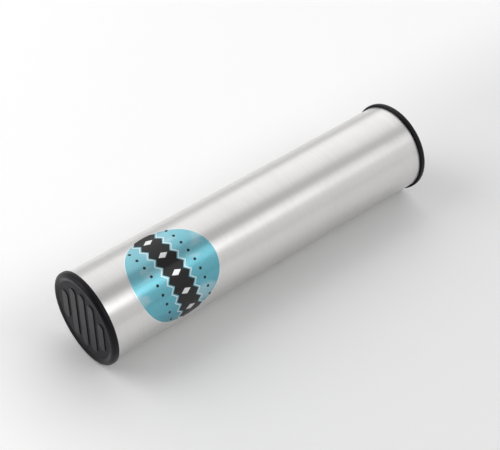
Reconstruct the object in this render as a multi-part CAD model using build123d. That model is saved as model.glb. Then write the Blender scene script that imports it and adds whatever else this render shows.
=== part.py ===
from build123d import *

import math
import os

# A tube shaker lying on its side. All sizes are in millimetres.
# X runs along the tube from the front cap to the rear cap, Y across it, Z is up.
# The origin lies under the middle of the tube, on the surface that the cap flanges rest on.

# Tube
tube_outer_diameter = 50.0
tube_wall = 1.0
tube_length = 210.0
tube_edge_break = 0.2

# End caps: the flange that shows, the face inside its rim and the plug that enters the tube
flange_overhang = 1.3
flange_thickness = 3.7
flange_front_round = 2.1
flange_back_round = 0.3
rim_crest_width = 0.3
rim_bevel_width = 1.9
face_recess = 0.8
web_thickness = 2.4
plug_depth = 12.0
plug_clearance = 0.35
plug_wall = 1.8
plug_lead_in = 0.8
plug_inner_fillet = 1.0
rib_count = 2
rib_first = 3.5
rib_pitch = 3.5
rib_round = 0.6
rib_clearance = 0.05

# Raised bars on the cap face, cut to a round field
relief_bar_count = 5
relief_bar_gap = 2.8
relief_margin = 4.1
relief_height = 0.5
relief_edge_break = 0.15

# Foil label, an egg-shaped patch bent round the tube
label_length = 50.8
label_width = 55.0
label_taper = 0.05
label_tilt = 6.0
label_from_front = 42.7
label_angle = 44.3
label_thickness = 0.1
label_glue = 0.03
label_points = 20

# Loose shot, in layers of rows along the bottom of the bore
shot_diameter = 4.5
shot_gap = 0.3
shot_rows = (9, 6, 3)
shot_per_row = (13, 11, 9)

# Sizes that follow from the ones above
tube_radius = tube_outer_diameter / 2
bore_radius = tube_radius - tube_wall
flange_radius = tube_radius + flange_overhang
axis_height = flange_radius
tube_end = tube_length / 2
face_floor = flange_thickness - face_recess
crest_outer_radius = flange_radius - flange_front_round
crest_inner_radius = crest_outer_radius - rim_crest_width
floor_radius = crest_inner_radius - rim_bevel_width
plug_radius = bore_radius - plug_clearance
plug_inner_radius = plug_radius - plug_wall
web_inside = face_floor - web_thickness
shot_pitch = shot_diameter + shot_gap

on_axis = Pos(0, 0, axis_height)


def make_tube():
    """The plain tube, with its end edges broken."""
    ring = Plane.YZ * (Circle(tube_radius) - Circle(bore_radius))
    tube = extrude(ring, tube_end, both=True)
    rims = tube.edges().filter_by(GeomType.CIRCLE)
    return on_axis * chamfer(rims, tube_edge_break)


def cap_profile():
    """Half section of a cap: x outwards from the tube's end face, y out from the axis."""
    rim_foot = (face_floor, floor_radius)
    crest_inner = (flange_thickness, crest_inner_radius)
    crest_outer = (flange_thickness, crest_outer_radius)
    shoulder = (flange_thickness - flange_front_round, flange_radius)
    back_start = (flange_back_round, flange_radius)
    back_end = (0, flange_radius - flange_back_round)
    lead_start = (plug_lead_in - plug_depth, plug_radius)
    lead_end = (-plug_depth, plug_radius - plug_lead_in)
    plug_mouth = (-plug_depth, plug_inner_radius)
    inner_start = (web_inside - plug_inner_fillet, plug_inner_radius)
    inner_end = (web_inside, plug_inner_radius - plug_inner_fillet)
    outline = [
        Polyline((face_floor, 0), rim_foot, crest_inner, crest_outer),
        TangentArc(crest_outer, shoulder, tangent=(0, 1)),
        Line(shoulder, back_start),
        TangentArc(back_start, back_end, tangent=(-1, 0)),
        Polyline(back_end, (0, plug_radius), lead_start, lead_end, plug_mouth, inner_start),
        TangentArc(inner_start, inner_end, tangent=(1, 0)),
        Polyline(inner_end, (web_inside, 0), (face_floor, 0)),
    ]
    return make_face(outline)


def sealing_rib(depth):
    """A rounded ring round the plug that reaches almost to the bore."""
    ring = Torus(bore_radius - rib_clearance - rib_round, rib_round)
    return Pos(-depth, 0, 0) * Rot(0, 90, 0) * ring


def relief_bars():
    """Raised bars side by side on the cap face, each as long as the round field is there."""
    field_radius = floor_radius - relief_margin
    bar_width = (2 * field_radius - (relief_bar_count - 1) * relief_bar_gap) / relief_bar_count
    bar_pitch = bar_width + relief_bar_gap
    bars = []
    for number in range(relief_bar_count):
        offset = (number - (relief_bar_count - 1) / 2) * bar_pitch
        bar_length = 2 * math.sqrt(field_radius**2 - offset**2)
        outline = Plane.YZ * Pos(offset, 0) * Rot(0, 0, 90) * SlotOverall(bar_length, bar_width)
        bar = Pos(face_floor, 0, 0) * extrude(outline, relief_height)
        top = bar.faces().sort_by(Axis.X)[-1]
        bars.append(chamfer(top.edges(), relief_edge_break))
    return bars


def make_cap():
    """A moulded end cap on the X axis, its flange seated at x = 0 and its face towards +X."""
    cap = revolve(cap_profile(), Axis.X)
    ribs = [sealing_rib(rib_first + rib_pitch * number) for number in range(rib_count)]
    return cap + ribs + relief_bars()


def label_outline():
    """The label's egg, laid flat and projected on the plane that faces it."""
    points = []
    tilt = math.radians(label_tilt)
    for number in range(label_points):
        turn = 2 * math.pi * number / label_points
        along = label_length / 2 * math.sin(turn)
        around = label_width / 2 * math.cos(turn) * (1 - label_taper * math.sin(turn))
        along_tube = around * math.sin(tilt) + along * math.cos(tilt)
        round_tube = around * math.cos(tilt) - along * math.sin(tilt)
        points.append((along_tube, -tube_radius * math.sin(round_tube / tube_radius)))
    return make_face(Spline(points, periodic=True))


def make_label():
    """A thin patch on the tube's outside, on the side that faces the viewer."""
    inside = tube_radius + label_glue
    outside = inside + label_thickness
    skin = Rot(0, 90, 0) * (Cylinder(outside, tube_length) - Cylinder(inside, tube_length))
    angle = math.radians(label_angle)
    facing = Plane((label_from_front - tube_end, 0, 0), (1, 0, 0), (0, -math.sin(angle), math.cos(angle)))
    prism = extrude(facing * label_outline(), outside)
    return on_axis * (skin & prism)


def shot_row(layer, place):
    """One row of loose shot along the tube, as separate balls."""
    layer_radius = bore_radius - shot_gap - shot_diameter / 2 - layer * shot_pitch
    row_angle = 2 * math.asin(shot_pitch / (2 * layer_radius))
    angle = (place - (shot_rows[layer] - 1) / 2) * row_angle
    y = layer_radius * math.sin(angle)
    z = -layer_radius * math.cos(angle)
    count = shot_per_row[layer]
    balls = []
    for number in range(count):
        x = (number - (count - 1) / 2) * shot_pitch
        balls.append(on_axis * Pos(x, y, z) * Sphere(shot_diameter / 2))
    return Compound(children=balls)


def make_nodes():
    """Every piece of the shaker under its node's name."""
    cap = make_cap()
    nodes = {
        "tube": make_tube(),
        "front_cap": on_axis * Pos(-tube_end, 0, 0) * Rot(0, 0, 180) * cap,
        "rear_cap": on_axis * Pos(tube_end, 0, 0) * cap,
        "label": make_label(),
    }
    row_number = 0
    for layer, rows in enumerate(shot_rows):
        for place in range(rows):
            row_number += 1
            nodes[f"shot_row_{row_number:02d}"] = shot_row(layer, place)
    return nodes


os.makedirs("parts", exist_ok=True)
for name, piece in make_nodes().items():
    export_step(piece, f"parts/{name}.step")
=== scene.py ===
"""A tube shaker on a pale studio floor: brushed tube, moulded end caps, foil label and loose shot."""

import logging
import math
from dataclasses import dataclass, field
from enum import Enum
from functools import cache
from typing import Any

import bmesh
import bpy
from bmesh.types import BMesh, BMVert
from bpy.types import ID, Material, Mesh, Node, NodeTree, Object
from mathutils import Matrix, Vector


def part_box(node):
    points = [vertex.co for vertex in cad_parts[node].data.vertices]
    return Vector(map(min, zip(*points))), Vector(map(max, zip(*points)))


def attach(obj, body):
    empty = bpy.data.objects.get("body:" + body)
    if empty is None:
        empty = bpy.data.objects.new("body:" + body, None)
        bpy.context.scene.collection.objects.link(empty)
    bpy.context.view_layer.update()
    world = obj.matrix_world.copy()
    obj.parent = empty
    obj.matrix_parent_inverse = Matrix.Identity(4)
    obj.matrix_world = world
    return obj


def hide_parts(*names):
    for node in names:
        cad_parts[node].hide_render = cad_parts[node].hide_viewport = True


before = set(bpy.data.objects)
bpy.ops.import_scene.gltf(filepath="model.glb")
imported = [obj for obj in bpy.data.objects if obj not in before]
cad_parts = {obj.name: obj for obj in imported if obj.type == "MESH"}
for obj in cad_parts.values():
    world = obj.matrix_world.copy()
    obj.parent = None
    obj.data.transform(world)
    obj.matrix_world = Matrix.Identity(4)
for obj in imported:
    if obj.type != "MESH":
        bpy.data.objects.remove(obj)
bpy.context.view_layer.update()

MM = 0.001
SPINDLE_RADIUS = 0.001 * MM
MERGE_GAP = 0.005 * MM
BALL_DETAIL = 2
UNIT = (0.0, 1.0)
EVEN = (1.0, 1.0, 1.0)
WHITE = (1.0, 1.0, 1.0, 1.0)
LOG = logging.getLogger("tube_shaker")

Socket = bpy.types.NodeSocket
Feeds = dict[Any, Any]
Point = tuple[float, float]
Range = tuple[float, float]
Triple = tuple[float, float, float]
Colour = tuple[float, float, float, float]


class CapEnd(Enum):
    """The two ends of the tube, with the way each cap faces along X."""

    FRONT = -1.0
    REAR = 1.0


class Workbench:
    """Places nodes in one tree and wires them up."""

    def __init__(self, tree: NodeTree) -> None:
        """Keeps the tree that nodes are placed in."""
        self.tree = tree

    def feed(self, node: Node, feeds: Feeds) -> None:
        """Feeds a node's inputs.

        Args:
            node: The node.
            feeds: Input name or number, with the socket to link or the plain value to set.
        """
        for name, value in feeds.items():
            if isinstance(value, Socket):
                self.tree.links.new(value, node.inputs[name])
            else:
                node.inputs[name].default_value = value

    def place(self, kind: str, feeds: Feeds | None = None, **settings: Any) -> Node:
        """Adds a node, sets its options and feeds its inputs.

        Args:
            kind: The node's type name.
            feeds: What feeds its inputs.
            settings: Options of the node itself.

        Returns:
            The new node.
        """
        node = self.tree.nodes.new(kind)
        for name, value in settings.items():
            setattr(node, name, value)
        self.feed(node, feeds or {})
        return node

    def out(self, kind: str, feeds: Feeds | None = None, **settings: Any) -> Socket:
        """Places a node and gives its first output."""
        return self.place(kind, feeds, **settings).outputs[0]

    def math(self, operation: str, *values: Any, clamp: bool = False) -> Socket:
        """The result of one Math node over sockets or numbers, kept from 0 to 1 where it is clamped."""
        return self.out("ShaderNodeMath", dict(enumerate(values)), operation=operation, use_clamp=clamp)

    def square(self, value: Any) -> Socket:
        """A value times itself."""
        return self.math("POWER", value, 2.0)

    def fade(self, share: Any, first: Any, last: Any) -> Socket:
        """The first value where the share is 0, the last where it is 1, and evenly between."""
        return self.math("MULTIPLY_ADD", share, self.math("SUBTRACT", last, first), first)

    def span(self, value: Any, ends: Range, first: float = 0.0, last: float = 1.0) -> Socket:
        """Maps the stretch from one end to the other on first..last, with a soft start and finish."""
        feeds = dict(enumerate((value, *ends, first, last)))
        return self.out("ShaderNodeMapRange", feeds, interpolation_type="SMOOTHSTEP")

    def within(self, distance: Any, limit: float, blur: float) -> Socket:
        """1 where a distance is under its limit and 0 past it, blurred to both sides of the limit."""
        return self.span(distance, (limit - blur, limit + blur), 1.0, 0.0)

    def mix(self, share: Any, under: Any, over: Any) -> Socket:
        """Blends two colours by the share of the second one."""
        # The colour sockets go by number, because the node's other sockets have the same names.
        return self.place("ShaderNodeMix", {0: share, 6: under, 7: over}, data_type="RGBA").outputs[2]

    def noise(self, place: Socket, scale: Any, detail: float, roughness: float = 0.5) -> Socket:
        """Noise from 0 to 1 over some coordinates, with a number of finer layers and their strength."""
        feeds = {"Vector": place, "Scale": scale, "Detail": detail, "Roughness": roughness}
        return self.out("ShaderNodeTexNoise", feeds)

    def split(self, vector: Socket) -> tuple[Socket, ...]:
        """The three parts of a vector."""
        return tuple(self.place("ShaderNodeSeparateXYZ", {0: vector}).outputs)

    def join(self, x: Any = 0.0, y: Any = 0.0, z: Any = 0.0) -> Socket:
        """A vector from its three parts."""
        return self.out("ShaderNodeCombineXYZ", {"X": x, "Y": y, "Z": z})

    def length(self, vector: Socket) -> Socket:
        """The length of a vector."""
        return self.place("ShaderNodeVectorMath", {0: vector}, operation="LENGTH").outputs["Value"]


class EffectBench(Workbench):
    """A workbench on a shader group: a surface effect that finishes place with their own fineness."""

    def __init__(self, name: str, output: str) -> None:
        """Makes the group.

        Args:
            name: The group's name.
            output: Name of the value that it puts out.
        """
        super().__init__(bpy.data.node_groups.new(name, "ShaderNodeTree"))
        face = self.tree.interface
        face.new_socket("Place", in_out="INPUT", socket_type="NodeSocketVector")
        face.new_socket("Fineness", in_out="INPUT", socket_type="NodeSocketFloat")
        face.new_socket(output, in_out="OUTPUT", socket_type="NodeSocketFloat")
        self.spot, self.fineness, _ = self.place("NodeGroupInput").outputs


@dataclass(frozen=True)
class HandlingMarks:
    """Soft smudges and fine specks left by hands."""

    smudge_detail: float = 3.0
    smudge_roughness: float = 0.55
    smudge_span: Range = (0.42, 0.72)
    speck_ratio: float = 9.0
    speck_detail: float = 2.0
    speck_span: Range = (0.60, 0.72)
    speck_share: float = 0.25

    @cache
    def group(self) -> NodeTree:
        """Makes the effect's group, once.

        Returns:
            The group, whose Marks run from 0 on clean surface to 1.
        """
        bench = EffectBench("handling_marks", "Marks")
        smudge = bench.noise(bench.spot, bench.fineness, self.smudge_detail, self.smudge_roughness)
        finer = bench.math("MULTIPLY", bench.fineness, self.speck_ratio)
        speck = bench.span(bench.noise(bench.spot, finer, self.speck_detail), self.speck_span)
        soft = bench.span(smudge, self.smudge_span)
        marks = bench.math("MULTIPLY_ADD", speck, self.speck_share, soft, clamp=True)
        bench.place("NodeGroupOutput", {"Marks": marks})
        return bench.tree


@dataclass(frozen=True)
class SurfaceGrain:
    """Fine relief, stretched into lines or left even by the coordinates that it is given."""

    detail: float = 2.0
    roughness: float = 0.6
    fine_ratio: float = 2.7
    fine_detail: float = 1.0
    fine_share: float = 0.4

    @cache
    def group(self) -> NodeTree:
        """Makes the effect's group, once.

        Returns:
            The group, whose Height runs from 0 to 1.
        """
        bench = EffectBench("surface_grain", "Height")
        coarse = bench.noise(bench.spot, bench.fineness, self.detail, self.roughness)
        finer = bench.math("MULTIPLY", bench.fineness, self.fine_ratio)
        fine = bench.noise(bench.spot, finer, self.fine_detail)
        both = bench.math("MULTIPLY_ADD", fine, self.fine_share, coarse)
        height = bench.math("MULTIPLY", both, 1.0 / (1.0 + self.fine_share))
        bench.place("NodeGroupOutput", {"Height": height})
        return bench.tree


Effect = HandlingMarks | SurfaceGrain


class PaintBench(Workbench):
    """A workbench on a new material with one Principled shader."""

    def __init__(self, name: str) -> None:
        """Makes the material, with its shader wired to the output.

        Args:
            name: The material's name.
        """
        self.material = bpy.data.materials.new(name)
        self.material.use_nodes = True
        super().__init__(self.material.node_tree)
        self.tree.nodes.clear()
        self.shader = self.place("ShaderNodeBsdfPrincipled")
        self.place("ShaderNodeOutputMaterial", {"Surface": self.shader.outputs[0]})

    def spot(self, stretch: Triple = EVEN, shift: Triple = (0.0, 0.0, 0.0)) -> Socket:
        """Object coordinates in metres, stretched and then shifted."""
        source = self.place("ShaderNodeTexCoord").outputs["Object"]
        return self.out("ShaderNodeMapping", {"Vector": source, "Scale": stretch, "Location": shift})

    def radius(self, axis_height: float) -> Socket:
        """Distance in metres from the shaker's axis, which lies along X at the given height."""
        return self.length(self.spot((0.0, 1.0, 1.0), (0.0, 0.0, -axis_height)))

    def attribute(self, name: str) -> Socket:
        """A number that the mesh holds for each of its points."""
        return self.place("ShaderNodeAttribute", attribute_name=name).outputs["Fac"]

    def effect(self, kind: Effect, fineness: float, stretch: Triple = EVEN) -> Socket:
        """Places a shared effect on object coordinates and gives the value that it puts out."""
        feeds = {"Place": self.spot(stretch), "Fineness": fineness}
        return self.out("ShaderNodeGroup", feeds, node_tree=kind.group())

    def bump(self, height: Socket, depth: float) -> Socket:
        """A normal bent by a height from 0 to 1, which is so many metres deep."""
        return self.out("ShaderNodeBump", {"Height": height, "Distance": depth, "Strength": 1.0})

    def dress(self, feeds: Feeds) -> Material:
        """Feeds the shader and gives the finished material."""
        self.feed(self.shader, feeds)
        return self.material


@dataclass(frozen=True)
class BrushedAluminium:
    """Satin aluminium, brushed round the tube's outside and left dull in its bore."""

    axis_height: float
    bore: float
    light: Colour = (0.74, 0.733, 0.725, 1.0)
    dull: Colour = (0.70, 0.693, 0.685, 1.0)
    line_fineness: float = 2600.0
    line_stretch: Triple = (1.0, 0.012, 0.012)
    line_span: Range = (0.25, 0.75)
    line_depth: float = 0.002 * MM
    smudge_fineness: float = 38.0
    smudge_share: float = 0.35
    roughness: Range = (0.30, 0.37)
    bore_rough: float = 0.70
    bore_blend: float = 0.2 * MM
    anisotropy: float = 0.55
    brush_turn: float = 0.25

    def material(self) -> Material:
        """Makes the material.

        Returns:
            The material.
        """
        bench = PaintBench("brushed_aluminium")
        lines = bench.effect(SurfaceGrain(), self.line_fineness, self.line_stretch)
        marks = bench.effect(HandlingMarks(), self.smudge_fineness)
        streaks = bench.span(lines, self.line_span)
        tone = bench.math("MULTIPLY_ADD", marks, self.smudge_share, streaks, clamp=True)
        outside = bench.span(bench.radius(self.axis_height), (self.bore, self.bore + self.bore_blend))
        satin = bench.span(tone, UNIT, *self.roughness)
        return bench.dress({
            "Base Color": bench.mix(tone, self.light, self.dull),
            "Roughness": bench.fade(outside, self.bore_rough, satin),
            "Normal": bench.bump(lines, self.line_depth),
            "Metallic": 1.0,
            "Anisotropic": self.anisotropy,
            "Anisotropic Rotation": self.brush_turn,
            "Tangent": bench.out("ShaderNodeTangent", direction_type="RADIAL", axis="X"),
        })


@dataclass(frozen=True)
class MouldedBlack:
    """Black moulded plastic: matt grained face, smoother relief, polished bevel and satin rim. The rim's
    darker black is painted shade, and the relief's lighter black is partly wear and partly a painted
    highlight.
    """

    axis_height: float
    face_radius: float
    crest_radius: float
    dark: Colour = (0.0065, 0.0062, 0.0080, 1.0)
    # A lighter black for smudged wear, also used as a painted highlight on the raised bars.
    worn_and_highlight: Colour = (0.0135, 0.0128, 0.0155, 1.0)
    # A darker black for the rim: painted shade.
    rim_painted_shade: Colour = (0.0035, 0.0032, 0.0045, 1.0)
    grain_fineness: float = 2200.0
    grain_span: Range = (0.3, 0.7)
    grain_depth: float = 0.020 * MM
    grain_calm: float = 0.8
    smudge_fineness: float = 60.0
    smudge_wear: float = 0.5
    relief_painted_highlight: float = 0.6
    roughness: Range = (0.46, 0.62)
    relief_polish: float = 0.20
    bevel_rough: float = 0.26
    rim_rough: float = 0.40
    blend: float = 0.2 * MM
    specular: float = 0.19
    gloss_tint: Colour = (0.93, 0.92, 1.0, 1.0)
    sheen: float = 0.05
    sheen_rough: float = 0.35

    def material(self) -> Material:
        """Makes the material.

        Returns:
            The material.
        """
        bench = PaintBench("moulded_black")
        grain = bench.effect(SurfaceGrain(), self.grain_fineness)
        marks = bench.effect(HandlingMarks(), self.smudge_fineness)
        raised = bench.attribute("raised")
        radius = bench.radius(self.axis_height)
        rim = bench.span(radius, (self.face_radius, self.face_radius + self.blend))
        smudged = bench.math("MULTIPLY", marks, self.smudge_wear)
        # Smudges are real wear; the raised bars are lightened as well, which is a painted highlight.
        wear_and_painted_highlight = bench.math("MULTIPLY_ADD", raised, self.relief_painted_highlight, smudged, clamp=True)
        matt = bench.span(grain, self.grain_span, *self.roughness)
        matt = bench.math("MULTIPLY_ADD", raised, -self.relief_polish, matt)
        crest = (self.crest_radius - self.blend, self.crest_radius + self.blend)
        satin = bench.span(radius, crest, self.bevel_rough, self.rim_rough)
        calm = bench.math("MULTIPLY_ADD", bench.math("MAXIMUM", raised, rim), -self.grain_calm, 1.0)
        return bench.dress({
            # Painted shade: the rim takes a darker black than the face.
            "Base Color": bench.mix(rim, bench.mix(wear_and_painted_highlight, self.dark, self.worn_and_highlight), self.rim_painted_shade),
            "Roughness": bench.fade(rim, matt, satin),
            "Normal": bench.bump(bench.math("MULTIPLY", grain, calm), self.grain_depth),
            "Specular IOR Level": self.specular,
            "Specular Tint": self.gloss_tint,
            "Sheen Weight": self.sheen,
            "Sheen Roughness": self.sheen_rough,
        })


@dataclass(frozen=True)
class RolledSteel:
    """Bright steel shot with small scuffs."""

    bright: Colour = (0.62, 0.62, 0.63, 1.0)
    scuffed: Colour = (0.42, 0.41, 0.41, 1.0)
    scuff_fineness: float = 420.0
    grain_fineness: float = 3000.0
    grain_depth: float = 0.003 * MM
    roughness: Range = (0.18, 0.36)

    def material(self) -> Material:
        """Makes the material.

        Returns:
            The material.
        """
        bench = PaintBench("rolled_steel")
        scuffs = bench.effect(HandlingMarks(), self.scuff_fineness)
        grain = bench.effect(SurfaceGrain(), self.grain_fineness)
        return bench.dress({
            "Base Color": bench.mix(scuffs, self.bright, self.scuffed),
            "Roughness": bench.span(scuffs, UNIT, *self.roughness),
            "Normal": bench.bump(grain, self.grain_depth),
            "Metallic": 1.0,
        })


@dataclass(frozen=True)
class PrintedFoil:
    """Tinted metal foil with a zigzag band, diamonds and dots printed on it, and painted highlight and
    painted shade on its ground.

    The print's sizes are in millimetres. The edge is bare from a share of the way out from the middle.
    """

    teal: Colour = (0.14, 0.46, 0.55, 1.0)
    # A deeper teal, used only for painted shade on the lower part of the label.
    deep: Colour = (0.085, 0.33, 0.42, 1.0)
    pale: Colour = (0.36, 0.58, 0.65, 1.0)
    silver: Colour = (0.74, 0.76, 0.76, 1.0)
    ink: Colour = (0.004, 0.004, 0.005, 1.0)
    field_size: float = 60.0
    band_half: float = 4.6
    zigzag_height: float = 2.4
    zigzag_pitch: float = 2.75
    keyline_gap: float = 1.1
    keyline_width: float = 0.6
    diamond_pitch: float = 5.5
    diamond_width: float = 1.7
    diamond_height: float = 3.0
    dot_row: float = 12.5
    dot_pitch: float = 2.75
    dot_radius: float = 0.8
    blur: float = 0.09
    edge_span: Range = (0.975, 0.985)
    wisp_stretch: Triple = (0.5, 1.0, 1.0)
    wisp_fineness: float = 110.0
    wisp_detail: float = 2.0
    wisp_roughness: float = 0.45
    wisp_span: Range = (0.45, 0.64)
    wisp_share: float = 0.75
    # Painted highlight and painted shade: paler towards the top of the tube, deeper towards the bottom,
    # in millimetres round it.
    painted_highlight_share: float = 0.35
    painted_highlight_fade: Range = (6.0, -26.0)
    painted_shade_fade: Range = (-2.0, 26.0)
    smudge_fineness: float = 70.0
    roughness: Range = (0.26, 0.34)
    grain_fineness: float = 900.0
    grain_depth: float = 0.004 * MM
    metal: float = 0.92
    specular: float = 0.05
    coat: float = 0.7
    coat_rough: float = 0.13

    def material(self) -> Material:
        """Makes the material.

        Returns:
            The material.
        """
        bench = PaintBench("printed_foil")
        across, up, _ = bench.split(bench.out("ShaderNodeUVMap", uv_map="label_plane"))
        around = self.in_field(bench, across)
        ink, silver = self.ornament(bench, around, self.in_field(bench, up))
        bare = bench.math("MAXIMUM", silver, bench.span(bench.attribute("edge_share"), self.edge_span))
        foil = bench.mix(bare, self.ground(bench, around), self.silver)
        marks = bench.effect(HandlingMarks(), self.smudge_fineness)
        grain = bench.effect(SurfaceGrain(), self.grain_fineness)
        return bench.dress({
            "Base Color": bench.mix(ink, foil, self.ink),
            "Metallic": bench.span(ink, UNIT, self.metal, 0.0),
            "Roughness": bench.span(marks, UNIT, *self.roughness),
            "Normal": bench.bump(grain, self.grain_depth),
            "Specular IOR Level": self.specular,
            "Coat Weight": self.coat,
            "Coat Roughness": self.coat_rough,
        })

    def in_field(self, bench: PaintBench, share: Socket) -> Socket:
        """Millimetres from the label's middle, from a share of the print field."""
        return bench.math("MULTIPLY", bench.math("SUBTRACT", share, 0.5), self.field_size)

    def ground(self, bench: PaintBench, around: Socket) -> Socket:
        """The teal ground, with painted highlight that makes it pale above, painted shade that makes it
        deep below, and pale wisps.

        Args:
            bench: The workbench of the material.
            around: Millimetres round the tube from the label's middle.

        Returns:
            The ground's colour.
        """
        spot = bench.spot(self.wisp_stretch)
        cloud = bench.noise(spot, self.wisp_fineness, self.wisp_detail, self.wisp_roughness)
        wisp = bench.span(cloud, self.wisp_span, 0.0, self.wisp_share)
        # Painted highlight: the ground turns paler towards the top of the tube.
        fade = bench.span(around, self.painted_highlight_fade, 0.0, self.painted_highlight_share)
        # Painted shade: the ground turns deeper towards the bottom.
        under = bench.mix(bench.span(around, self.painted_shade_fade), self.teal, self.deep)
        return bench.mix(bench.math("ADD", wisp, fade, clamp=True), under, self.pale)

    def ornament(self, bench: PaintBench, around: Socket, along: Socket) -> tuple[Socket, Socket]:
        """The printed band, its keylines, the diamonds in it and the rows of dots beside it.

        Args:
            bench: The workbench of the material.
            around: Millimetres round the tube from the label's middle.
            along: Millimetres along the tube from the label's middle.

        Returns:
            The ink's mask and the bare silver's mask.
        """
        off = bench.math("ABSOLUTE", along)
        wave = bench.math("PINGPONG", around, self.zigzag_pitch)
        zigzag = bench.math("MULTIPLY_ADD", wave, self.zigzag_height / self.zigzag_pitch, self.band_half)
        past = bench.math("SUBTRACT", off, zigzag)
        band = bench.within(past, 0.0, self.blur)
        line_off = bench.math("ABSOLUTE", bench.math("SUBTRACT", past, self.keyline_gap))
        line = bench.within(line_off, self.keyline_width / 2, self.blur)
        sway = bench.math("PINGPONG", around, self.diamond_pitch)
        lean = bench.math("DIVIDE", sway, self.diamond_width)
        reach = bench.math("ADD", lean, bench.math("DIVIDE", off, self.diamond_height))
        diamond = bench.within(reach, 1.0, self.blur / 2)
        step = bench.math("PINGPONG", around, self.dot_pitch)
        row = bench.math("SUBTRACT", off, self.dot_row)
        gap = bench.math("SQRT", bench.math("ADD", bench.square(step), bench.square(row)))
        dot = bench.within(gap, self.dot_radius, self.blur)
        inked = bench.math("MULTIPLY", band, bench.math("SUBTRACT", 1.0, diamond))
        ink = bench.math("MAXIMUM", inked, dot)
        silver = bench.math("MAXIMUM", line, bench.math("MULTIPLY", band, diamond))
        return ink, silver


@dataclass(frozen=True)
class PaleFloor:
    """A pale floor with painted light: a glow behind the tube and beyond its front end, left off in
    front of the tube so that the floor stays darker there, and an even glow far away.

    Distances are in metres from the middle of the tube, and the glow shows only to the camera and in
    reflections.
    """

    colour: Colour = (0.96, 0.96, 0.96, 1.0)
    roughness: float = 0.9
    near_glow: float = 0.16
    far_glow: float = 0.27
    behind: Range = (0.0, 0.10)
    in_front: Range = (-0.09, -0.19)
    near_end: Range = (0.25, 0.80)
    far_start: Range = (0.20, 1.00)

    def material(self) -> Material:
        """Makes the material.

        Returns:
            The material.
        """
        bench = PaintBench("pale_floor")
        spot = bench.spot()
        along, across, _ = bench.split(spot)
        away = bench.length(spot)
        # Painted light: the near glow pools behind the tube and past its front end, and leaves the floor
        # in front of the tube darker.
        near = bench.math("MAXIMUM", bench.span(across, self.behind), bench.span(along, self.in_front))
        near = bench.math("MULTIPLY", near, bench.span(away, self.near_end, self.near_glow, 0.0))
        glow = bench.math("ADD", near, bench.span(away, self.far_start, 0.0, self.far_glow))
        rays = bench.place("ShaderNodeLightPath").outputs
        mirrored = bench.math("MAXIMUM", rays["Is Glossy Ray"], rays["Is Transmission Ray"])
        seen = bench.math("MAXIMUM", rays["Is Camera Ray"], mirrored)
        return bench.dress({
            "Base Color": self.colour,
            "Roughness": self.roughness,
            "Specular IOR Level": 0.0,
            "Emission Color": self.colour,
            "Emission Strength": bench.math("MULTIPLY", glow, seen),
        })


def add_object(name: str, data: ID) -> Object:
    """Adds an object to the scene.

    Args:
        name: The object's name.
        data: Its mesh, lamp or camera.

    Returns:
        The object, at the origin.
    """
    thing = bpy.data.objects.new(name, data)
    bpy.context.scene.collection.objects.link(thing)
    return thing


def plain_mesh(thing: Object) -> Mesh:
    """A copy of an object's mesh with its modifiers carried out."""
    graph = bpy.context.evaluated_depsgraph_get()
    return bpy.data.meshes.new_from_object(thing.evaluated_get(graph))


class NodeForm(Workbench):
    """A geometry node tree with named inputs, and what turns its result into a plain mesh."""

    KINDS = {
        "Geometry": "NodeSocketGeometry",
        "Material": "NodeSocketMaterial",
        "Segments": "NodeSocketInt",
        "Count": "NodeSocketInt",
        "Start": "NodeSocketVector",
    }

    def __init__(self, name: str, *inputs: str) -> None:
        """Makes the tree.

        Args:
            name: The tree's name.
            inputs: Names of its inputs, which are lengths or angles unless KINDS has them.
        """
        super().__init__(bpy.data.node_groups.new(name, "GeometryNodeTree"))
        face = self.tree.interface
        self.sockets = {}
        for label in ("Geometry", *inputs, "Material"):
            kind = self.KINDS.get(label, "NodeSocketFloat")
            self.sockets[label] = face.new_socket(label, in_out="INPUT", socket_type=kind)
        face.new_socket("Geometry", in_out="OUTPUT", socket_type="NodeSocketGeometry")
        self.source = self.place("NodeGroupInput").outputs

    def copies(self, start: Socket, step: Socket, shape: Socket) -> Socket:
        """Instances of a shape in a straight line, as many as the Count input says.

        Args:
            start: Where the first one stands.
            step: The way from each one to the next.
            shape: The shape.

        Returns:
            The instances.
        """
        line = {"Count": self.source["Count"], "Start Location": start, "Offset": step}
        points = self.out("GeometryNodeMeshLine", line)
        return self.out("GeometryNodeInstanceOnPoints", {"Points": points, "Instance": shape})

    def close(self, geometry: Socket) -> "NodeForm":
        """Ends the tree in realized, smooth geometry with the Material input's material.

        Args:
            geometry: What the tree has made.

        Returns:
            The finished tree.
        """
        real = self.out("GeometryNodeRealizeInstances", {"Geometry": geometry})
        smooth = self.out("GeometryNodeSetShadeSmooth", {"Geometry": real})
        feeds = {"Geometry": smooth, "Material": self.source["Material"]}
        self.place("NodeGroupOutput", {0: self.out("GeometryNodeSetMaterial", feeds)})
        return self

    def grow(self, name: str, seed: Mesh, values: dict[str, Any]) -> Object:
        """Runs the tree on a mesh and keeps the result as a plain mesh object.

        Args:
            name: The new object's name.
            seed: The mesh that the tree starts from, which is removed.
            values: A value for each named input.

        Returns:
            The finished object, at the origin and with no modifier.
        """
        carrier = add_object("carrier", seed)
        modifier = carrier.modifiers.new(self.tree.name, "NODES")
        modifier.node_group = self.tree
        for label, value in values.items():
            modifier[self.sockets[label].identifier] = value
        mesh = plain_mesh(carrier)
        mesh.name = name
        bpy.data.objects.remove(carrier)
        bpy.data.meshes.remove(seed)
        return add_object(name, mesh)


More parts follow.
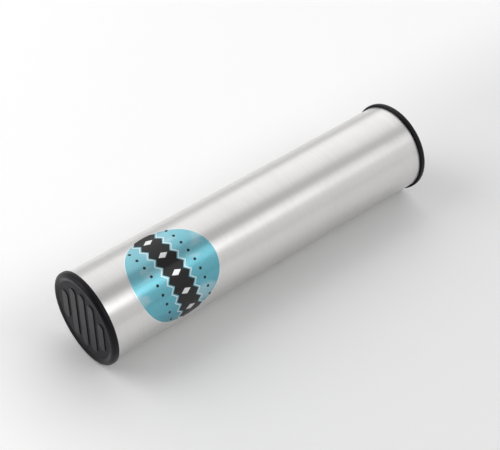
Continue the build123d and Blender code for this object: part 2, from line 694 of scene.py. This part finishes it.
@cache
def lathe() -> NodeForm:
    """Turns a half section, given as (radius, -along), round the shaker's axis.

    Returns:
        The tree.
    """
    form = NodeForm("turned_on_lathe", "Segments", "Axis Height")
    section = form.out("GeometryNodeMeshToCurve", {"Mesh": form.source["Geometry"]})
    ring = {"Radius": SPINDLE_RADIUS, "Resolution": form.source["Segments"]}
    spindle = form.out("GeometryNodeCurvePrimitiveCircle", ring)
    turned = form.out("GeometryNodeCurveToMesh", {"Curve": spindle, "Profile Curve": section})
    closed = form.out("GeometryNodeMergeByDistance", {"Geometry": turned, "Distance": MERGE_GAP})
    lift = form.join(z=form.source["Axis Height"])
    lay = {"Geometry": closed, "Translation": lift, "Rotation": (0.0, math.pi / 2, 0.0)}
    return form.close(form.out("GeometryNodeTransform", lay))


@cache
def shot_row() -> NodeForm:
    """A straight row of balls along X.

    Returns:
        The tree.
    """
    form = NodeForm("row_of_shot", "Count", "Pitch", "Radius", "Start")
    size = {"Radius": form.source["Radius"], "Subdivisions": BALL_DETAIL}
    ball = form.out("GeometryNodeMeshIcoSphere", size)
    return form.close(form.copies(form.source["Start"], form.join(x=form.source["Pitch"]), ball))


@cache
def raised_bars() -> NodeForm:
    """Repeats a round puck across a round field and draws each one out to the field's edge.

    Returns:
        The tree.
    """
    form = NodeForm("raised_bars", "Count", "Pitch", "Width", "Field Radius", "Axis Height")
    source = form.source
    pitch, axis_height = source["Pitch"], source["Axis Height"]
    gaps = form.math("SUBTRACT", source["Count"], 1.0)
    first = form.math("MULTIPLY", form.math("MULTIPLY", gaps, pitch), -0.5)
    pucks = form.copies(form.join(y=first, z=axis_height), form.join(y=pitch), source["Geometry"])
    real = form.out("GeometryNodeRealizeInstances", {"Geometry": pucks})
    _, across, up = form.split(form.out("GeometryNodeInputPosition"))
    half_pitch = form.math("MULTIPLY", pitch, 0.5)
    shifted = form.math("ADD", form.math("SUBTRACT", across, first), half_pitch)
    offset = form.math("ADD", form.math("SNAP", shifted, pitch), first)
    left = form.math("SUBTRACT", form.square(source["Field Radius"]), form.square(offset))
    half_width = form.math("MULTIPLY", source["Width"], 0.5)
    draw = form.math("SUBTRACT", form.math("SQRT", left), half_width)
    side = form.math("SIGN", form.math("SUBTRACT", up, axis_height))
    shift = form.join(z=form.math("MULTIPLY", side, draw))
    return form.close(form.out("GeometryNodeSetPosition", {"Geometry": real, "Offset": shift}))


@cache
def wrapping() -> NodeForm:
    """Wraps a flat patch round the tube: X along, Y around and Z out from the tube's skin.

    Returns:
        The tree.
    """
    places = ("Tube Radius", "Axis Height", "Centre Along", "Centre Angle", "Tilt")
    form = NodeForm("wrapped_round_tube", *places)
    tube_radius, axis_height, centre_along, centre_angle, tilt = (form.source[name] for name in places)
    along, around, out = form.split(form.out("GeometryNodeInputPosition"))
    sine = form.math("SINE", tilt)
    cosine = form.math("COSINE", tilt)
    along_tube = form.math("MULTIPLY_ADD", around, sine, form.math("MULTIPLY", along, cosine))
    back = form.math("MULTIPLY", along, sine)
    round_tube = form.math("SUBTRACT", form.math("MULTIPLY", around, cosine), back)
    turn = form.math("ADD", form.math("DIVIDE", round_tube, tube_radius), centre_angle)
    radius = form.math("ADD", tube_radius, out)
    x = form.math("ADD", along_tube, centre_along)
    y = form.math("MULTIPLY", form.math("MULTIPLY", radius, form.math("SINE", turn)), -1.0)
    z = form.math("MULTIPLY_ADD", radius, form.math("COSINE", turn), axis_height)
    feeds = {"Geometry": form.source["Geometry"], "Position": form.join(x, y, z)}
    return form.close(form.out("GeometryNodeSetPosition", feeds))


def arc(centre: Point, radius: float, start: float, end: float, steps: int) -> list[Point]:
    """Points of an arc of so many chords in a half section, from one angle in degrees to another."""
    angles = [math.radians(start + (end - start) * n / steps) for n in range(steps + 1)]
    return [(centre[0] + radius * math.cos(a), centre[1] + radius * math.sin(a)) for a in angles]


def section_mesh(outline: list[Point], closed: bool) -> Mesh:
    """A half section as loose edges, in the lathe's (radius, -along) plane.

    Args:
        outline: Points as (along, radius).
        closed: Whether the last point joins the first.

    Returns:
        The mesh.
    """
    spots = [(radius, -along, 0.0) for along, radius in outline]
    edges = [(n, n + 1) for n in range(len(spots) - 1)]
    if closed:
        edges.append((len(spots) - 1, 0))
    mesh = bpy.data.meshes.new("half_section")
    mesh.from_pydata(spots, edges, [])
    return mesh


def bridge(shell: BMesh, first: list[BMVert], second: list[BMVert]) -> None:
    """Joins two closed loops of as many points by a band of faces."""
    for corners in zip(first, first[1:] + first[:1], second[1:] + second[:1], second):
        shell.faces.new(corners)


def pour(shell: BMesh, mesh: Mesh) -> None:
    """Fills a mesh from a shell and frees the shell."""
    shell.to_mesh(mesh)
    shell.free()


def settle(piece: Object, crease: float = 32.0) -> None:
    """Points a piece's faces outwards and keeps its corners crisp.

    Args:
        piece: A mesh object made of closed shells.
        crease: Angle in degrees from which an edge stays sharp.
    """
    shell = bmesh.new()
    shell.from_mesh(piece.data)
    bmesh.ops.recalc_face_normals(shell, faces=shell.faces)
    pour(shell, piece.data)
    piece.data.set_sharp_from_angle(angle=math.radians(crease))


@dataclass
class TubeBody:
    """The plain tube with broken end edges. Its end is half its length from its middle."""

    wall: float = 1.0 * MM
    edge_break: float = 0.2 * MM
    segments: int = 256
    radius: float = field(init=False)
    bore: float = field(init=False)
    end: float = field(init=False)
    axis_height: float = field(init=False)

    def __post_init__(self) -> None:
        """Takes the tube's outside size and its axis from its node."""
        low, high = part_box("tube")
        self.radius = (high.z - low.z) / 2
        self.bore = self.radius - self.wall
        self.end = (high.x - low.x) / 2
        self.axis_height = (high.z + low.z) / 2

    def section(self) -> list[Point]:
        """The wall's half section.

        Returns:
            Points as (along, radius).
        """
        side = [
            (self.end - self.edge_break, self.radius),
            (self.end, self.radius - self.edge_break),
            (self.end, self.bore + self.edge_break),
            (self.end - self.edge_break, self.bore),
        ]
        return side + [(-along, radius) for along, radius in reversed(side)]

    def build(self, finish: Material) -> Object:
        """Turns the tube and puts it in place of its node.

        Args:
            finish: The tube's material.

        Returns:
            The tube.
        """
        values = {"Segments": self.segments, "Axis Height": self.axis_height, "Material": finish}
        tube = lathe().grow("tube_brushed", section_mesh(self.section(), True), values)
        settle(tube)
        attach(tube, "tube")
        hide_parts("tube")
        return tube


@dataclass
class EndCap:
    """A moulded end cap: rimmed flange, recessed face with raised bars, and a ribbed plug.

    Its half section is given as (along, radius), with along measured outwards from the tube's end.
    Beside some edges a narrow strip, as wide as hold, keeps the flat face's shading flat.
    """

    end: CapEnd
    tube: TubeBody
    front_round: float = 2.1 * MM
    back_round: float = 0.3 * MM
    crest_width: float = 0.3 * MM
    bevel_width: float = 1.9 * MM
    face_recess: float = 0.8 * MM
    web_thickness: float = 2.4 * MM
    plug_clearance: float = 0.35 * MM
    plug_wall: float = 1.8 * MM
    plug_lead_in: float = 0.8 * MM
    plug_fillet: float = 1.0 * MM
    rib_count: int = 2
    rib_first: float = 3.5 * MM
    rib_pitch: float = 3.5 * MM
    rib_round: float = 0.6 * MM
    rib_clearance: float = 0.05 * MM
    bar_count: int = 5
    bar_gap: float = 2.8 * MM
    bar_margin: float = 4.1 * MM
    bar_height: float = 0.5 * MM
    bar_edge: float = 0.15 * MM
    bar_edge_swell: float = 0.3
    bar_root: float = 0.3 * MM
    hold: float = 0.12 * MM
    segments: int = 192
    front_round_steps: int = 14
    back_round_steps: int = 4
    rib_steps: int = 8
    fillet_steps: int = 6
    bar_steps: int = 32
    flange_radius: float = field(init=False)
    flange_thickness: float = field(init=False)
    plug_depth: float = field(init=False)
    face_floor: float = field(init=False)
    crest_outer: float = field(init=False)
    crest_inner: float = field(init=False)
    floor_radius: float = field(init=False)

    def __post_init__(self) -> None:
        """Takes the outer sizes from the cap's node, and the face's sizes from those."""
        low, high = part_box(self.node)
        self.flange_radius = (high.z - low.z) / 2
        self.flange_thickness = max(abs(low.x), abs(high.x)) - self.tube.end
        self.plug_depth = self.tube.end - min(abs(low.x), abs(high.x))
        self.face_floor = self.flange_thickness - self.face_recess
        self.crest_outer = self.flange_radius - self.front_round
        self.crest_inner = self.crest_outer - self.crest_width
        self.floor_radius = self.crest_inner - self.bevel_width

    @property
    def node(self) -> str:
        """Name of the cap's node and body."""
        return self.end.name.lower() + "_cap"

    def facing(self, along: float) -> float:
        """X of a place at this cap's end of the tube."""
        return self.end.value * (self.tube.end + along)

    def rim(self) -> list[Point]:
        """Half section of the face, the rim round it and the flange.

        Returns:
            The points.
        """
        shoulder = (self.flange_thickness - self.front_round, self.crest_outer)
        heel = (self.back_round, self.flange_radius - self.back_round)
        rise = self.hold * self.face_recess / self.bevel_width
        points = [
            (self.face_floor, 0.0),
            (self.face_floor, self.floor_radius - self.hold),
            (self.face_floor, self.floor_radius),
            (self.face_floor + rise, self.floor_radius + self.hold),
            (self.flange_thickness - rise, self.crest_inner - self.hold),
            (self.flange_thickness, self.crest_inner),
        ]
        points += arc(shoulder, self.front_round, 0, 90, self.front_round_steps)
        points += arc(heel, self.back_round, 90, 180, self.back_round_steps)
        return points

    def plug(self) -> list[Point]:
        """Half section of the plug with its sealing ribs, from the flange's back to the axis inside.

        Returns:
            The points.
        """
        outer = self.tube.bore - self.plug_clearance
        inner = outer - self.plug_wall
        rib_centre = self.tube.bore - self.rib_clearance - self.rib_round
        web_inside = self.face_floor - self.web_thickness
        rise = math.degrees(math.asin((outer - rib_centre) / self.rib_round))
        points = [(0.0, outer)]
        for number in range(self.rib_count):
            depth = self.rib_first + self.rib_pitch * number
            points += arc((-depth, rib_centre), self.rib_round, rise, 180 - rise, self.rib_steps)
        points += [
            (self.plug_lead_in - self.plug_depth, outer),
            (-self.plug_depth, outer - self.plug_lead_in),
            (-self.plug_depth, inner),
        ]
        fillet = (web_inside - self.plug_fillet, inner - self.plug_fillet)
        points += arc(fillet, self.plug_fillet, 90, 0, self.fillet_steps)
        points += [(web_inside, inner - self.plug_fillet - self.hold), (web_inside, 0.0)]
        return points

    def puck(self, bar_width: float) -> Mesh:
        """A round puck with a broken top edge, facing out along X, which the bars are drawn from.

        Args:
            bar_width: The puck's diameter.

        Returns:
            The mesh.
        """
        half = bar_width / 2
        top = self.face_floor + self.bar_height
        swell = self.bar_edge * self.bar_edge_swell
        levels = [
            (self.face_floor - self.bar_root, half),
            (top - self.bar_edge, half),
            (top - swell, half - swell),
            (top, half - self.bar_edge),
            (top, half - self.bar_edge - self.hold),
        ]
        # The half step keeps points off the middle, so that each one is drawn up or down.
        turns = [2 * math.pi * (number + 0.5) / self.bar_steps for number in range(self.bar_steps)]
        disc = bmesh.new()
        rings = []
        for along, radius in levels:
            x = self.facing(along)
            spots = [(x, radius * math.cos(turn), radius * math.sin(turn)) for turn in turns]
            rings.append([disc.verts.new(spot) for spot in spots])
        for under, over in zip(rings, rings[1:]):
            bridge(disc, under, over)
        disc.faces.new(rings[0])
        disc.faces.new(rings[-1])
        mesh = bpy.data.meshes.new("bar_puck")
        pour(disc, mesh)
        return mesh

    def build(self, finish: Material) -> Object:
        """Turns the cap, adds its raised bars and puts it in place of its node.

        Args:
            finish: The cap's material.

        Returns:
            The cap.
        """
        name = self.node + "_moulded"
        common = {"Axis Height": self.tube.axis_height, "Material": finish}
        outline = [(self.facing(along), radius) for along, radius in self.rim() + self.plug()]
        cap = lathe().grow(name, section_mesh(outline, False), {"Segments": self.segments, **common})
        field_radius = self.floor_radius - self.bar_margin
        bar_width = (2 * field_radius - (self.bar_count - 1) * self.bar_gap) / self.bar_count
        values = {
            "Count": self.bar_count,
            "Pitch": bar_width + self.bar_gap,
            "Width": bar_width,
            "Field Radius": field_radius,
            **common,
        }
        self.fuse(cap, raised_bars().grow(name + "_bars", self.puck(bar_width), values))
        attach(cap, self.node)
        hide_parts(self.node)
        return cap

    def fuse(self, cap: Object, relief: Object) -> None:
        """Makes one closed shell of the cap and its relief, and removes the relief's object.

        Args:
            cap: The cap.
            relief: The raised bars.
        """
        settle(cap)
        settle(relief)
        union = cap.modifiers.new("union", "BOOLEAN")
        union.operation = "UNION"
        union.solver = "EXACT"
        union.object = relief
        whole = plain_mesh(cap)
        cap.modifiers.clear()
        spares = [cap.data, relief.data]
        cap.data = whole
        whole.name = cap.name
        bpy.data.objects.remove(relief)
        for spare in spares:
            bpy.data.meshes.remove(spare)
        settle(cap)
        self.mark_raised(whole)

    def mark_raised(self, mesh: Mesh) -> None:
        """Marks the points of the bars in the mesh's raised attribute.

        Args:
            mesh: The cap's mesh.
        """
        raised = mesh.attributes.new("raised", "FLOAT", "POINT")
        for point, mark in zip(mesh.vertices, raised.data):
            out = abs(point.co.x) - self.tube.end
            reach = math.hypot(point.co.y, point.co.z - self.tube.axis_height)
            mark.value = float(out > self.face_floor + self.bar_height / 2 and reach < self.floor_radius)


@dataclass
class FoilLabel:
    """An egg-shaped foil label wrapped round the tube near its front end. Its angles are in degrees."""

    tube: TubeBody
    length: float = 50.8 * MM
    width: float = 55.0 * MM
    taper: float = 0.05
    tilt: float = 6.0
    from_front: float = 42.7 * MM
    angle: float = 44.3
    thickness: float = 0.1 * MM
    glue: float = 0.03 * MM
    crease: float = 60.0
    rings: int = 30
    steps: int = 120

    def brink(self, turn: float) -> Point:
        """The egg's outline as (along, around), at an angle in radians from its side."""
        along = self.length / 2 * math.sin(turn)
        return along, self.width / 2 * math.cos(turn) * (1 - self.taper * math.sin(turn))

    def flat(self, field_size: float) -> Mesh:
        """The label before it is wrapped: a thin closed egg with its print plane as a UV map.

        Args:
            field_size: Side of the square print field, in metres.

        Returns:
            The mesh: X along the tube, Y around it, Z out.
        """
        egg = bmesh.new()
        edge = egg.verts.layers.float.new("edge_share")
        outline = [self.brink(2 * math.pi * number / self.steps) for number in range(self.steps)]
        brinks = []
        for level in (self.glue, self.glue + self.thickness):
            middle = egg.verts.new((0.0, 0.0, level))
            rings = []
            for number in range(1, self.rings + 1):
                share = number / self.rings
                spots = [(share * along, share * around, level) for along, around in outline]
                rings.append([egg.verts.new(spot) for spot in spots])
                for point in rings[-1]:
                    point[edge] = share
            for pair in zip(rings[0], rings[0][1:] + rings[0][:1]):
                egg.faces.new((middle, *pair))
            for inner, outer in zip(rings, rings[1:]):
                bridge(egg, outer, inner)
            brinks.append(rings[-1])
        bridge(egg, *brinks)
        plane = egg.loops.layers.uv.new("label_plane")
        for face in egg.faces:
            for corner in face.loops:
                spot = corner.vert.co
                corner[plane].uv = (0.5 + spot.y / field_size, 0.5 + spot.x / field_size)
        mesh = bpy.data.meshes.new("label_flat")
        pour(egg, mesh)
        return mesh

    def build(self, finish: PrintedFoil) -> Object:
        """Wraps the label and puts it in place of its node.

        Args:
            finish: The label's finish.

        Returns:
            The label.
        """
        values = {
            "Tube Radius": self.tube.radius,
            "Axis Height": self.tube.axis_height,
            "Centre Along": self.from_front - self.tube.end,
            "Centre Angle": math.radians(self.angle),
            "Tilt": math.radians(self.tilt),
            "Material": finish.material(),
        }
        label = wrapping().grow("label_foil_patch", self.flat(finish.field_size * MM), values)
        settle(label, self.crease)
        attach(label, "tube")
        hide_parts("label")
        return label


@dataclass
class ShotCharge:
    """The loose shot, one row of balls for each row's node."""

    gap: float = 0.3 * MM
    prefix: str = "shot_row_"

    def build(self, finish: Material) -> list[Object]:
        """Lays every row of balls in place of its node."""
        names = sorted(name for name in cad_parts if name.startswith(self.prefix))
        return [self.lay(name, finish) for name in names]

    def lay(self, node: str, finish: Material) -> Object:
        """Lays one row.

        Args:
            node: The row's node and body.
            finish: The balls' material.

        Returns:
            The row of balls.
        """
        low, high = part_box(node)
        diameter = high.z - low.z
        pitch = diameter + self.gap
        middle = (low + high) / 2
        values = {
            "Count": round((high.x - low.x - diameter) / pitch) + 1,
            "Pitch": pitch,
            "Radius": diameter / 2,
            "Start": (low.x + diameter / 2, middle.y, middle.z),
            "Material": finish,
        }
        balls = shot_row().grow(node + "_balls", bpy.data.meshes.new("seed"), values)
        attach(balls, node)
        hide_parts(node)
        return balls


@dataclass(frozen=True)
class Softbox:
    """A rectangular lamp that faces the middle of the tube.

    Its turn is in degrees round the tube's axis, from straight up towards the viewer, and its lean in
    degrees towards the rear end. Its reach, its length along the tube and its width are in metres.
    """

    name: str
    turn: float
    lean: float
    reach: float
    length: float
    width: float
    radiance: float

    def build(self, axis_height: float) -> None:
        """Makes the lamp.

        Args:
            axis_height: Height of the tube's axis.
        """
        lamp = bpy.data.lights.new(self.name, "AREA")
        lamp.shape = "RECTANGLE"
        lamp.size = self.length
        lamp.size_y = self.width
        lamp.energy = self.radiance * math.pi * self.length * self.width
        turned = Matrix.Rotation(math.radians(self.turn), 4, "X")
        leaned = Matrix.Rotation(math.radians(self.lean), 4, "Y")
        middle = Matrix.Translation((0.0, 0.0, axis_height))
        away = Matrix.Translation((0.0, 0.0, self.reach))
        add_object(self.name, lamp).matrix_world = middle @ turned @ leaned @ away


@dataclass
class Studio:
    """The floor, the lamps, the surrounding light and the camera."""

    tube: TubeBody
    floor_size: float = 8.0
    surround: float = 0.36
    surround_rise: float = 0.40
    surround_back: float = 0.30
    surround_least: float = 0.10
    horizon: float = 0.66
    horizon_band: Range = (0.06, 0.22)
    azimuth: float = -39.88
    elevation: float = 42.72
    distance: float = 0.6903
    aim: Point = (0.7 * MM, 0.5 * MM)
    lens: float = 91.96
    sensor: float = 36.0
    lamps: tuple[Softbox, ...] = (
        Softbox("back_softbox", turn=-32.0, lean=36.0, reach=1.1, length=1.2, width=1.2, radiance=0.53),
        Softbox("front_strip", turn=40.0, lean=8.5, reach=0.95, length=1.25, width=0.36, radiance=0.72),
        Softbox("front_accent", turn=48.0, lean=8.0, reach=0.95, length=0.32, width=0.26, radiance=1.5),
        Softbox("front_fill", turn=66.0, lean=24.0, reach=1.4, length=2.2, width=0.7, radiance=0.24),
        Softbox("side_key", turn=-42.0, lean=-38.0, reach=1.2, length=0.9, width=0.9, radiance=2.35),
    )

    def build(self, floor_finish: Material) -> None:
        """Sets up the studio.

        Args:
            floor_finish: The floor's material.
        """
        self.lay_floor(floor_finish)
        self.light()
        self.set_camera()
        bpy.context.scene.view_settings.view_transform = "Standard"

    def lay_floor(self, finish: Material) -> None:
        """Lays the floor under the shaker.

        Args:
            finish: The floor's material.
        """
        half = self.floor_size / 2
        corners = [(-half, -half, 0.0), (half, -half, 0.0), (half, half, 0.0), (-half, half, 0.0)]
        mesh = bpy.data.meshes.new("floor")
        mesh.from_pydata(corners, [], [(0, 1, 2, 3)])
        mesh.materials.append(finish)
        add_object("floor", mesh)

    def light(self) -> None:
        """Sets the lamps and the surrounding light.

        That light rises towards the rear end and behind the tube, and is even near the horizon.
        """
        world = bpy.data.worlds.new("studio")
        world.use_nodes = True
        world.node_tree.nodes.clear()
        bench = Workbench(world.node_tree)
        rear, behind, up = bench.split(bench.place("ShaderNodeTexCoord").outputs["Generated"])
        level = bench.math("MULTIPLY_ADD", rear, self.surround_rise, self.surround)
        level = bench.math("MULTIPLY_ADD", bench.math("MAXIMUM", behind, 0.0), self.surround_back, level)
        level = bench.math("MAXIMUM", level, self.surround_least)
        level = bench.fade(bench.span(up, self.horizon_band, 1.0, 0.0), level, self.horizon)
        sky = bench.out("ShaderNodeBackground", {"Color": WHITE, "Strength": level})
        bench.place("ShaderNodeOutputWorld", {"Surface": sky})
        bpy.context.scene.world = world
        for lamp in self.lamps:
            lamp.build(self.tube.axis_height)

    def set_camera(self) -> None:
        """Stands the camera at the photograph's viewing angle."""
        lens = bpy.data.cameras.new("camera")
        lens.lens = self.lens
        lens.sensor_width = self.sensor
        camera = add_object("camera", lens)
        turned = Matrix.Rotation(math.radians(self.azimuth), 4, "Z")
        tipped = Matrix.Rotation(math.radians(90.0 - self.elevation), 4, "X")
        middle = Matrix.Translation((*self.aim, self.tube.axis_height))
        camera.matrix_world = middle @ turned @ tipped @ Matrix.Translation((0.0, 0.0, self.distance))
        bpy.context.scene.camera = camera


def main() -> None:
    """Builds the shaker and the studio."""
    logging.basicConfig(level=logging.INFO, format="%(name)s: %(message)s")
    tube = TubeBody()
    pieces = [tube.build(BrushedAluminium(tube.axis_height, tube.bore).material())]
    caps = [EndCap(end, tube) for end in CapEnd]
    moulded = MouldedBlack(tube.axis_height, caps[0].floor_radius, caps[0].crest_inner).material()
    pieces += [cap.build(moulded) for cap in caps]
    pieces.append(FoilLabel(tube).build(PrintedFoil()))
    pieces += ShotCharge().build(RolledSteel().material())
    Studio(tube).build(PaleFloor().material())


if __name__ == "__main__":
    main()
